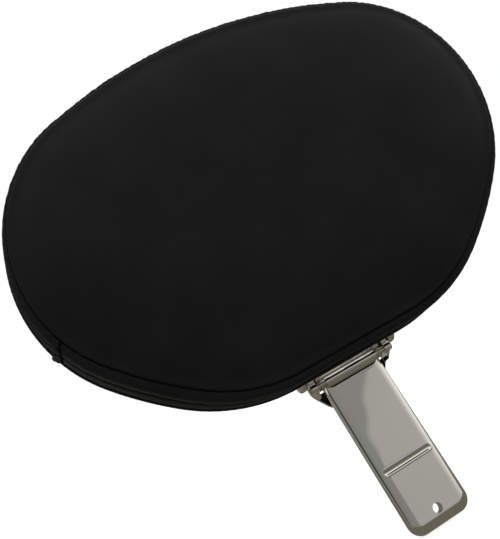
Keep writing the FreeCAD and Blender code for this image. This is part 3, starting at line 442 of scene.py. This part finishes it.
front_edge, rear_edge, perimeter = pad_edges(COLUMNS)
SHRINKS = (0.04, 0.12, 0.24, 0.38, 0.54, 0.7, 0.86)
FACE_WAYS = (-0.078, -0.068, -0.058, -0.049, -0.041, -0.034, -0.028, -0.022, -0.017, -0.013, -0.0095,
             -0.007, -0.005, -0.0036, -0.0025, -0.0017, -0.0011, -0.0006, -0.0003)
BAND_WAYS = (0, 0.0003, 0.0006, 0.0011, 0.0018, 0.0028, 0.0042, 0.006, 0.008, 0.010, 0.0118, 0.0132,
             0.0143, 0.0149, 0.0152, 0.0155, 0.0158, 0.0161, 0.0167, 0.0178, 0.0192, 0.021, 0.023, 0.025,
             0.027, 0.0285, 0.0297, 0.0305, 0.031)
ways = FACE_WAYS + BAND_WAYS
rings = closed_form(front_edge, rear_edge, ways, SHRINKS)

# The foam pushes the cover out between its seams. A coarse copy of it is blown up a little with its
# seams held, and the fine cover takes over how far each spot moved.
COARSE_COLUMNS, COARSE_SHRINKS = 150, (0.1, 0.35, 0.6, 0.82)
COARSE_WAYS = (-0.078, -0.058, -0.04, -0.025, -0.014, -0.006, 0, 0.0035, 0.0075, 0.0115, 0.0155, 0.0195,
               0.0235, 0.0275, 0.031)
PRESSURE, CLOTH_QUALITY, BLOWING_STEPS, MOST_SWELL = 8, 6, 20, 0.003


def swell_of_cover():
    """How far the stretched cover moves at each spot of the coarse copy, by cloth simulation."""
    front, rear, _ = pad_edges(COARSE_COLUMNS)
    coarse = closed_form(front, rear, COARSE_WAYS, COARSE_SHRINKS)
    rows = len(coarse)
    blown = new_piece("blown_cover", coarse, ring_faces(rows, COARSE_COLUMNS), None)
    sewn = blown.vertex_groups.new(name="sewn")
    first = rows - len(COARSE_WAYS)
    for row in (first + COARSE_WAYS.index(0), first + COARSE_WAYS.index(MIDDLE_SEAM), rows - 1):
        sewn.add([row * COARSE_COLUMNS + i for i in range(COARSE_COLUMNS)], 1.0, "REPLACE")
    cloth = blown.modifiers.new("blow", "CLOTH")
    cloth.settings.use_pressure = True
    cloth.settings.uniform_pressure_force = PRESSURE
    cloth.settings.vertex_group_mass = "sewn"
    cloth.settings.effector_weights.gravity = 0
    cloth.settings.quality = CLOTH_QUALITY
    for step in range(1, BLOWING_STEPS + 1):
        bpy.context.scene.frame_set(step)
    shaped = blown.evaluated_get(bpy.context.evaluated_depsgraph_get())
    moved = np.empty(len(shaped.data.vertices) * 3)
    shaped.data.vertices.foreach_get("co", moved)
    moved = moved.reshape(coarse.shape) - coarse
    bpy.context.scene.frame_set(1)
    bpy.data.objects.remove(blown, do_unlink=True)
    length = np.linalg.norm(moved, axis=2, keepdims=True)
    return moved * np.minimum(1, MOST_SWELL / np.maximum(length, 1e-9))


moved = swell_of_cover()[-len(COARSE_WAYS):]
columns = np.arange(COLUMNS) / COLUMNS * COARSE_COLUMNS
low = np.floor(columns).astype(int)
share = (columns - low)[:, None]
for row, way in enumerate(ways):
    line = np.array([[np.interp(way, COARSE_WAYS, moved[:, c, axis]) for axis in range(3)]
                     for c in range(COARSE_COLUMNS)])
    rings[len(SHRINKS) + row] += line[low] * (1 - share) + line[(low + 1) % COARSE_COLUMNS] * share
centre_move = np.array([0, moved[0, :, 1].mean(), 0])
for row in range(len(SHRINKS)):
    rings[row] += centre_move

# The seams draw the cover in, and the thread gathers it a little between the stitches. Weak waves of
# uneven length run along each seam.
STITCH_PITCH = 0.0042
SEAM_DRAW = ((0.0, 0.0012), (MIDDLE_SEAM, 0.0013), (DEPTH, 0.0005))
DRAW_REACH, FRONT_DRAW_BACK = 0.0009, 0.7
GATHER_RISE, GATHER_OFF, GATHER_REACH = 0.00005, 0.002, 0.002
WAVE_RISE, WAVE_REACH, WAVE_COUNTS = 0.00007, 0.006, (61, 83, 97, 118, 139)
along = np.arange(COLUMNS) / COLUMNS * perimeter
chance = np.random.default_rng(7)
waves = sum(chance.uniform(0.4, 1)
            * np.sin(2 * math.pi * k * along / perimeter + chance.uniform(0, 6.28))
            for k in WAVE_COUNTS)
for row, way in enumerate(ways):
    ring = rings[len(SHRINKS) + row]
    for seam, depth in SEAM_DRAW:
        near = math.exp(-((way - seam) / DRAW_REACH) ** 2)
        gather = math.exp(-((abs(way - seam) - GATHER_OFF) / GATHER_REACH) ** 2)
        pull = depth * near + GATHER_RISE * gather * np.sin(2 * math.pi * along / STITCH_PITCH)
        pull = pull + WAVE_RISE * math.exp(-((way - seam) / WAVE_REACH) ** 2) * waves
        ring[:, 0] -= front_edge[:, 2] * pull
        ring[:, 2] -= front_edge[:, 3] * pull
        if seam == 0:
            ring[:, 1] += depth * near * FRONT_DRAW_BACK

# The side bands begin and end at a cross seam low on the left, where they lap over each other in a
# tuck. It stands a little proud, pinches and creases the bands beside it, and ends in a lump at the
# rear edge.
CROSS_AT, LAP_HALF, LAP_RISE, LAP_EDGE, LAP_START = 0.781, 0.0027, 0.0010, 0.00025, 0.003
PINCH_DEEP, PINCH_HALF = 0.0009, 0.0006
LUMP_RISE, LUMP_HALF, LUMP_AT, LUMP_REACH = 0.0016, 0.0042, 0.0285, 0.0035
CREASE_RISE, CREASE_REACH, CREASE_PITCH, CREASE_SLANT = 0.0005, 0.012, 0.0016, 90
off = (along / perimeter - CROSS_AT) * perimeter
from_pinch = np.abs(off) - LAP_HALF - PINCH_HALF
lap = LAP_RISE / (1 + np.exp(np.clip((np.abs(off) - LAP_HALF) / LAP_EDGE, -40, 40)))
pinch = -PINCH_DEEP * np.exp(-(from_pinch / PINCH_HALF) ** 2)
crease_fade = CREASE_RISE * np.exp(-np.maximum(0, -off) / CREASE_REACH) * (off < 0)
for row, way in enumerate(ways):
    if way < 0:
        continue
    ring = rings[len(SHRINKS) + row]
    creases = crease_fade * np.sin(off / CREASE_PITCH + CREASE_SLANT * way)
    lump = LUMP_RISE * np.exp(-(off / LUMP_HALF) ** 4) * math.exp(-((way - LUMP_AT) / LUMP_REACH) ** 2)
    rise = (lap + pinch + creases) * math.sin(min(1, way / LAP_START) * math.pi / 2) + lump
    ring[:, 0] += front_edge[:, 2] * rise
    ring[:, 2] += front_edge[:, 3] * rise

GRAIN_GAP = 0.18
vinyl = new_material("coated_fabric", (0.0078, 0.0078, 0.0086), 0, 0.5, specular=0.1)
two_tone(vinyl, object_noise(vinyl, 26, 4), (0.0072, 0.0072, 0.0078), (0.0092, 0.0092, 0.0102))
between(vinyl, object_noise(vinyl, 35, 3), 0.44, 0.56, "Roughness")


def leather_grain(material, cells, height, strength):
    """The pebbled surface rolled into coated fabric."""
    tree = material.node_tree
    place = tree.nodes.new("ShaderNodeTexCoord")
    pebbles = tree.nodes.new("ShaderNodeTexVoronoi")
    pebbles.feature = "DISTANCE_TO_EDGE"
    pebbles.inputs["Scale"].default_value = cells
    soft = tree.nodes.new("ShaderNodeMapRange")
    soft.inputs["From Max"].default_value = GRAIN_GAP
    tree.links.new(place.outputs["Object"], pebbles.inputs["Vector"])
    tree.links.new(pebbles.outputs["Distance"], soft.inputs["Value"])
    relief(material, soft.outputs["Result"], height, strength)


leather_grain(vinyl, 900, 0.00012, 0.35)
# Painted shade in the seams: thin strips of the bands at each seam, and the pinches beside the tuck,
# take a near-black material.
FRONT_SHADE_RUN, MIDDLE_SHADE_SPAN, REAR_SHADE_RUN = 0.0003, (-0.0007, 0.0013), 0.0006
seam_shade = new_material("painted_seam_shade", (0.0015, 0.0015, 0.0017), 0, 0.8, specular=0.03)
two_tone(seam_shade, object_noise(seam_shade, 500, 2), (0.0012, 0.0012, 0.0013), (0.002, 0.002, 0.0022))
cushion = new_piece("cushion", rings, ring_faces(len(rings), COLUMNS), vinyl)
cushion.data.materials.append(seam_shade)
beside_lap = np.abs(from_pinch) < PINCH_HALF
for row in range(len(ways) - 1):
    middle = (ways[row] + ways[row + 1]) / 2
    in_seam_shade = (0 < middle < FRONT_SHADE_RUN or MIDDLE_SHADE_SPAN[0] < middle - MIDDLE_SEAM < MIDDLE_SHADE_SPAN[1]
              or middle > DEPTH - REAR_SHADE_RUN)
    for column in range(COLUMNS):
        if in_seam_shade or (middle > 0 and beside_lap[column]):
            cushion.data.polygons[(len(SHRINKS) + row) * COLUMNS + column].material_index = 1
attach(cushion, "pad_group")
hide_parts("front_panel", "front_band", "rear_band", "foam_core")

# Top stitching: black bonded thread, laid on the band just behind the front seam and again behind the
# middle seam. Each stitch is a short rounded bead, drawn into the fabric, that dips into its holes at
# both ends.
STITCH_LENGTH, THREAD_RADIUS, THREAD_SIDES, THREAD_STATIONS = 0.0031, 0.0002, 6, 6
THREAD_SINK, THREAD_DIP, THREAD_TAPER = 0.4, 3, 6.4
STITCH_ROWS = (("front_stitching", 0.0017), ("middle_stitching", MIDDLE_SEAM + 0.0018))


def stitch_row(name, depth, material):
    """Stitches round the pad at one depth, as one mesh."""
    line = np.array([[np.interp(depth, ways, rings[len(SHRINKS):, c, axis]) for axis in range(3)]
                     for c in range(COLUMNS)])
    line = np.vstack([line, line[:1]])
    count = int(perimeter / STITCH_PITCH)
    back = np.array([0, 1, 0])
    corners, faces = [], []
    for stitch in range(count):
        start = len(corners)
        for share in np.linspace(-0.5, 0.5, THREAD_STATIONS):
            spot = ((stitch + 0.5) * perimeter / count + share * STITCH_LENGTH) / perimeter * COLUMNS
            low = int(spot)
            base = line[low] * (1 - spot + low) + line[low + 1] * (spot - low)
            out = np.array([front_edge[low, 2], 0, front_edge[low, 3]])
            lift = -THREAD_RADIUS * (THREAD_SINK + THREAD_DIP * share ** 2)
            thick = THREAD_RADIUS * (1 - THREAD_TAPER * share ** 4)
            for k in range(THREAD_SIDES):
                turn = 2 * math.pi * k / THREAD_SIDES
                corners.append(base + out * (lift + thick * math.cos(turn))
                               + back * thick * math.sin(turn))
        for station in range(THREAD_STATIONS - 1):
            a = start + station * THREAD_SIDES
            b = a + THREAD_SIDES
            for k in range(THREAD_SIDES):
                after = (k + 1) % THREAD_SIDES
                faces.append((a + k, a + after, b + after, b + k))
        last = start + (THREAD_STATIONS - 1) * THREAD_SIDES
        faces.append(tuple(start + k for k in range(THREAD_SIDES))[::-1])
        faces.append(tuple(last + k for k in range(THREAD_SIDES)))
    return new_piece(name, corners, faces, material)


thread = new_material("black_thread", (0.006, 0.006, 0.0065), 0, 0.6, specular=0.1)
two_tone(thread, object_noise(thread, 600, 2), (0.010, 0.010, 0.0108), (0.016, 0.016, 0.017))
relief(thread, object_noise(thread, 2500, 1), 0.0001, 0.5)
for name, depth in STITCH_ROWS:
    stitching = stitch_row(name, depth, thread)
    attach(stitching, "pad_group")

# Piping: a thin cord in a strip of the cover's fabric, sewn into the rear seam all the way round. The
# thread gathers its outer side a little.
PIPING_RADIUS, PIPING_GROW, PIPING_SIDES, REAR_COLUMNS = 0.0019, 0.0003, 12, 440
PIPING_GATHER, PIPING_SEAT = 0.03, 0.0005
_, back_edge, _ = pad_edges(REAR_COLUMNS)
piping_along = np.arange(REAR_COLUMNS) / REAR_COLUMNS * perimeter
piping_middle = seam_y + DEPTH - PIPING_SEAT + PIPING_RADIUS
piping_rings = []
for corner in range(PIPING_SIDES):
    turn = 2 * math.pi * corner / PIPING_SIDES
    stitched = np.sin(2 * math.pi * piping_along / STITCH_PITCH) * (0.5 + 0.5 * math.cos(turn))
    grow = PIPING_GROW + PIPING_RADIUS * math.cos(turn) * (1 + PIPING_GATHER * stitched)
    y = np.full(REAR_COLUMNS, piping_middle + PIPING_RADIUS * math.sin(turn))
    piping_rings.append(np.stack([back_edge[:, 0] + back_edge[:, 2] * grow, y,
                                  back_edge[:, 1] + back_edge[:, 3] * grow + pad_z], 1))
piping_faces = []
for side in range(PIPING_SIDES):
    here, there = side * REAR_COLUMNS, (side + 1) % PIPING_SIDES * REAR_COLUMNS
    for column in range(REAR_COLUMNS):
        after = (column + 1) % REAR_COLUMNS
        piping_faces.append((here + column, there + column, there + after, here + after))
piping = new_piece("piping", piping_rings, piping_faces, vinyl)
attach(piping, "pad_group")
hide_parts("rear_welt")

# Rear cover: the same kind of fabric with a matt back, laid flat on the board inside the piping, with
# its edge turned under.
BACK_RISE = 0.0012
BACK_STEPS = ((0.078, BACK_RISE), (0.055, BACK_RISE), (0.035, BACK_RISE), (0.02, BACK_RISE),
              (0.009, BACK_RISE), (0.004, BACK_RISE), (0.0024, 0.0011), (0.0019, 0.0007), (0.0018, 0.0))
backing = new_material("backing_fabric", (0.013, 0.013, 0.014), 0, 0.7, specular=0.2)
two_tone(backing, object_noise(backing, 45, 4), (0.011, 0.011, 0.012), (0.018, 0.018, 0.019))
leather_grain(backing, 650, 0.00015, 0.5)
back_rings = []
for inset, rise in BACK_STEPS:
    back_rings.append(np.stack([back_edge[:, 0] - back_edge[:, 2] * inset,
                                np.full(REAR_COLUMNS, seam_y + DEPTH + rise),
                                back_edge[:, 1] - back_edge[:, 3] * inset + pad_z], 1))
rear_cover = new_piece("rear_cover", np.array(back_rings)[:, ::-1],
                       ring_faces(len(back_rings), REAR_COLUMNS), backing)
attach(rear_cover, "pad_group")
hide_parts("back_cover")

# Floor: plain pale card under the post's end, white to the camera but with the part's own shadow.
# To polished metal it shows a painted reflection: a glow, dim and warm near the post, and paler further
# out.
FLOOR_REACH, FLOOR_GAP, FLOOR_GLOW = 6, 0.001, 0.78
PALE_FROM, PALE_TO = 0.12, 1.1
level = solid_box[0].z - FLOOR_GAP
floor_mesh = bpy.data.meshes.new("floor")
floor_mesh.from_pydata([(x * FLOOR_REACH, y * FLOOR_REACH, level)
                        for x, y in ((-1, -1), (1, -1), (1, 1), (-1, 1))], [], [(0, 1, 2, 3)])
floor = put_in_scene("floor", floor_mesh)
card = new_material("floor_card", (0.6, 0.6, 0.6), 0, 0.8)
card_tree = card.node_tree
rays = card_tree.nodes.new("ShaderNodeLightPath")
seen = card_tree.nodes.new("ShaderNodeMath")
seen.operation = "MULTIPLY"
seen.inputs[1].default_value = FLOOR_GLOW
glow = card_tree.nodes.new("ShaderNodeEmission")
lit_card = card_tree.nodes.new("ShaderNodeAddShader")
card_place = card_tree.nodes.new("ShaderNodeTexCoord")
outward = card_tree.nodes.new("ShaderNodeVectorMath")
outward.operation = "LENGTH"
fade = card_tree.nodes.new("ShaderNodeMapRange")
fade.inputs["From Min"].default_value = PALE_FROM
fade.inputs["From Max"].default_value = PALE_TO
# Painted reflection: glossy rays see an emitted colour, dim and warm near the post and paler further
# out.
tones = card_tree.nodes.new("ShaderNodeValToRGB")
tones.color_ramp.elements[0].color = (0.15, 0.142, 0.108, 1)
tones.color_ramp.elements[1].color = (0.32, 0.315, 0.29, 1)
painted_reflection_glow = card_tree.nodes.new("ShaderNodeEmission")
card_choice = card_tree.nodes.new("ShaderNodeMixShader")
card_tree.links.new(rays.outputs["Is Camera Ray"], seen.inputs[0])
card_tree.links.new(seen.outputs["Value"], glow.inputs["Strength"])
card_tree.links.new(card_tree.nodes["Principled BSDF"].outputs["BSDF"], lit_card.inputs[0])
card_tree.links.new(glow.outputs["Emission"], lit_card.inputs[1])
card_tree.links.new(card_place.outputs["Object"], outward.inputs[0])
card_tree.links.new(outward.outputs["Value"], fade.inputs["Value"])
card_tree.links.new(fade.outputs["Result"], tones.inputs["Fac"])
card_tree.links.new(tones.outputs["Color"], painted_reflection_glow.inputs["Color"])
card_tree.links.new(rays.outputs["Is Glossy Ray"], card_choice.inputs["Fac"])
card_tree.links.new(lit_card.outputs["Shader"], card_choice.inputs[1])
card_tree.links.new(painted_reflection_glow.outputs["Emission"], card_choice.inputs[2])
card_tree.links.new(card_choice.outputs["Shader"], card_tree.nodes["Material Output"].inputs["Surface"])
floor.data.materials.append(card)

# Studio: a pale room, white behind the part. Polished metal sees it as it stands round the part: a pale
# wall at the right, a greyer one in front that ends along a slant, a dark strip beyond that at the left,
# a pale ceiling, and less light below and behind.
WALL_SLANT = -0.42
WALL_TONES = ((-1.0, 0.26), (-0.93, 0.05), (-0.8, 0.05), (-0.68, 0.24), (0.199, 0.275), (0.2, 0.43),
              (0.32, 0.45), (0.6, 0.65), (0.92, 1.0))
HEIGHT_TONES = ((-0.4, (0.4, 0.38, 0.3)), (-0.05, (0.62, 0.6, 0.5)), (0.05, (0.92, 0.92, 0.87)),
                (0.3, (1, 1, 0.96)))
DEPTH_TONES = ((-0.2, 1.0), (0.3, 0.95), (0.6, 0.5))
CEILING_TONES = ((0.4, 0.0), (0.62, 0.9))
ROOM_GREY, ROOM_WHITE = (0.42, 0.42, 0.42, 1), (1, 1, 1, 1)
world = bpy.data.worlds.new("studio")
bpy.context.scene.world = world
world.use_nodes = True
sky = world.node_tree
toward = sky.nodes.new("ShaderNodeTexCoord")
parts = sky.nodes.new("ShaderNodeSeparateXYZ")
sky.links.new(toward.outputs["Generated"], parts.inputs["Vector"])


def wall(source, stops):
    """Greys or colours at places from -1 to 1 along a direction."""
    span = sky.nodes.new("ShaderNodeMapRange")
    span.inputs["From Min"].default_value = -1
    ramp = sky.nodes.new("ShaderNodeValToRGB")
    while len(ramp.color_ramp.elements) < len(stops):
        ramp.color_ramp.elements.new(0.5)
    for element, (place, tone) in zip(ramp.color_ramp.elements, stops):
        element.position = (place + 1) / 2
        element.color = (*tone, 1) if isinstance(tone, tuple) else (tone, tone, tone, 1)
    sky.links.new(source, span.inputs["Value"])
    sky.links.new(span.outputs["Result"], ramp.inputs["Fac"])
    return ramp.outputs["Color"]


def mix_light(kind, first, second):
    """Two of the room's tones, multiplied or the lighter of them."""
    both = sky.nodes.new("ShaderNodeMixRGB")
    both.blend_type = kind
    both.inputs["Fac"].default_value = 1
    sky.links.new(first, both.inputs["Color1"])
    sky.links.new(second, both.inputs["Color2"])
    return both.outputs["Color"]


slant = sky.nodes.new("ShaderNodeMath")
slant.operation = "MULTIPLY_ADD"
slant.inputs[1].default_value = WALL_SLANT
sky.links.new(parts.outputs["Z"], slant.inputs[0])
sky.links.new(parts.outputs["X"], slant.inputs[2])
walls = wall(slant.outputs["Value"], WALL_TONES)
walls = mix_light("MULTIPLY", walls, wall(parts.outputs["Z"], HEIGHT_TONES))
walls = mix_light("MULTIPLY", walls, wall(parts.outputs["Y"], DEPTH_TONES))
walls = mix_light("LIGHTEN", walls, wall(parts.outputs["Z"], CEILING_TONES))

# The camera sees the room white, straight on and through gaps, and dull surfaces get an even grey light.
path = sky.nodes.new("ShaderNodeLightPath")
direct = sky.nodes.new("ShaderNodeMath")
direct.operation = "MAXIMUM"
mirrored = sky.nodes.new("ShaderNodeMixRGB")
mirrored.inputs["Color1"].default_value = ROOM_GREY
room = sky.nodes.new("ShaderNodeMixRGB")
room.inputs["Color2"].default_value = ROOM_WHITE
sky.links.new(path.outputs["Is Camera Ray"], direct.inputs[0])
sky.links.new(path.outputs["Is Transmission Ray"], direct.inputs[1])
sky.links.new(path.outputs["Is Glossy Ray"], mirrored.inputs["Fac"])
sky.links.new(walls, mirrored.inputs["Color2"])
sky.links.new(direct.outputs["Value"], room.inputs["Fac"])
sky.links.new(mirrored.outputs["Color"], room.inputs["Color1"])
sky.links.new(room.outputs["Color"], sky.nodes["Background"].inputs["Color"])


# Lamps: a large soft one over the front left, and a smaller, weaker one at the right. Polished metal
# doesn't mirror them.
def soft_lamp(name, place, aim, size, power):
    """A square soft lamp that points at a spot."""
    light = bpy.data.lights.new(name, "AREA")
    light.shape = "SQUARE"
    light.size = size
    light.energy = power
    lamp = put_in_scene(name, light)
    lamp.location = place
    lamp.rotation_euler = (Vector(aim) - Vector(place)).to_track_quat("-Z", "Y").to_euler()
    lamp.visible_glossy = False


soft_lamp("key_lamp", (-0.3, -0.9, 1.5), (0, 0, 0.15), 1.0, 16)
soft_lamp("side_lamp", (1.4, -0.5, 0.6), (0, 0, 0.1), 0.8, 6)

# Camera: close in front and a little to the part's left, level with the pad's lower half, and turned
# so that the post points to the lower right.
CAMERA_PLACE = (-0.14422, -0.42428, 0.15901)
CAMERA_LENS, CAMERA_SENSOR = 46.27, 36
look = Vector((0.25293, 0.96535, 0.06425)).normalized()
high = Vector((0.44304, -0.17461, 0.87933))
side = look.cross(high).normalized()
high = side.cross(look)
camera_data = bpy.data.cameras.new("camera")
camera_data.lens = CAMERA_LENS
camera_data.sensor_width = CAMERA_SENSOR
camera_data.sensor_fit = "AUTO"
camera = put_in_scene("camera", camera_data)
camera.matrix_world = Matrix([(side[i], high[i], -look[i], CAMERA_PLACE[i]) for i in range(3)]
                             + [(0, 0, 0, 1)])
bpy.context.scene.camera = camera
bpy.context.scene.view_settings.view_transform = "Standard"
